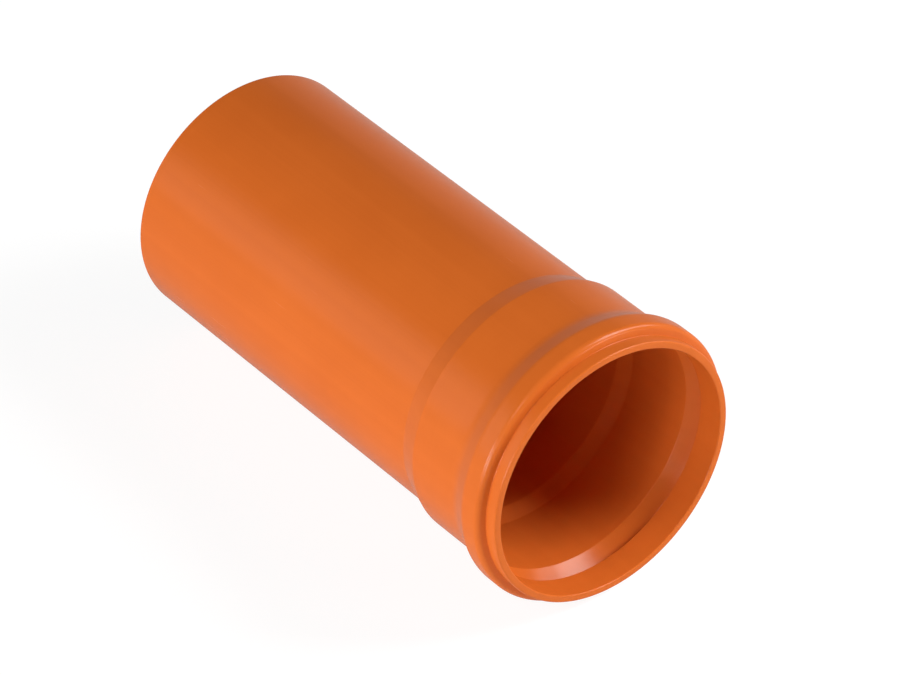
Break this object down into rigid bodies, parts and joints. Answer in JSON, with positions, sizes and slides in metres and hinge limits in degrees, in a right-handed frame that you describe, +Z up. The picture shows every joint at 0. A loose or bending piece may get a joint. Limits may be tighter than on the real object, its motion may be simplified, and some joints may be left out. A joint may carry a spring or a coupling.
{
  "type": "pvc sewer pipe",
  "caption": "Short plastic sewer pipe with a push-fit socket: ring bead and groove behind the mouth, conical shoulder and a plain spigot end.",
  "frame": {"origin": "on the floor, below the middle of the pipe as it lies at rest on its bead and the edge of its spigot end", "axes": "+X along the floor from the spigot end to the socket mouth; +Z up; the pipe's own axis is tipped up by 1.9 degrees towards the mouth, because the bead is wider than the pipe"},
  "size_m": [0.3552, 0.1816, 0.1818],
  "materials": {
    "pvc": "extruded, satin gloss, orange-brown"
  },
  "bodies": {
    "root": {"pipe": "pvc"}
  },
  "joints": []
}
